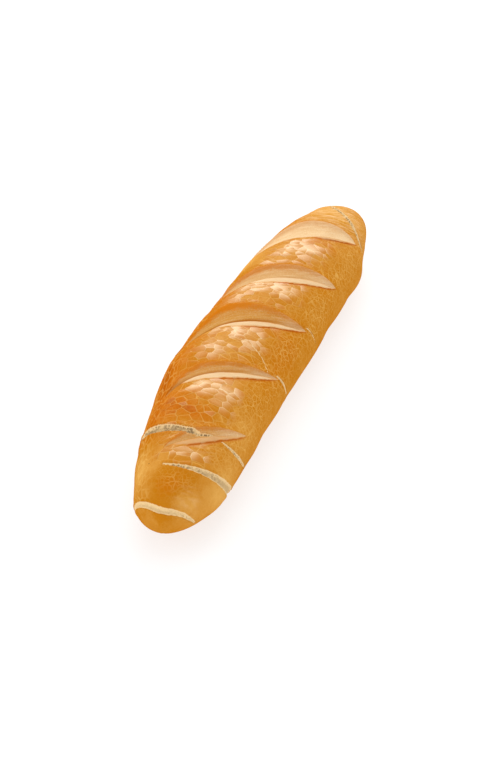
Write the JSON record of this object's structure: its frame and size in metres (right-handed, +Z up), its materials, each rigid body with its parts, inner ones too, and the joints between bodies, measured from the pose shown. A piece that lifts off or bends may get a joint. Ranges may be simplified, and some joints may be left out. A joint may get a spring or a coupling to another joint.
{
  "type": "baguette",
  "caption": "Long crusty bread loaf with blunt rounded ends, slanting opened scores across its back and a flat sole to rest on.",
  "frame": {"origin": "on the surface the loaf rests on, under the middle of its length and width", "axes": "+X along the loaf towards its blunter end, +Z up through the scored back, +Y towards the side that the loaf bows to"},
  "size_m": [0.4, 0.0754, 0.056],
  "materials": {
    "crust": "golden-brown baked crust, finely crackled, satin on the back and matte on the sole, with paler scores"
  },
  "bodies": {
    "root": {"baguette": "crust"}
  },
  "joints": []
}
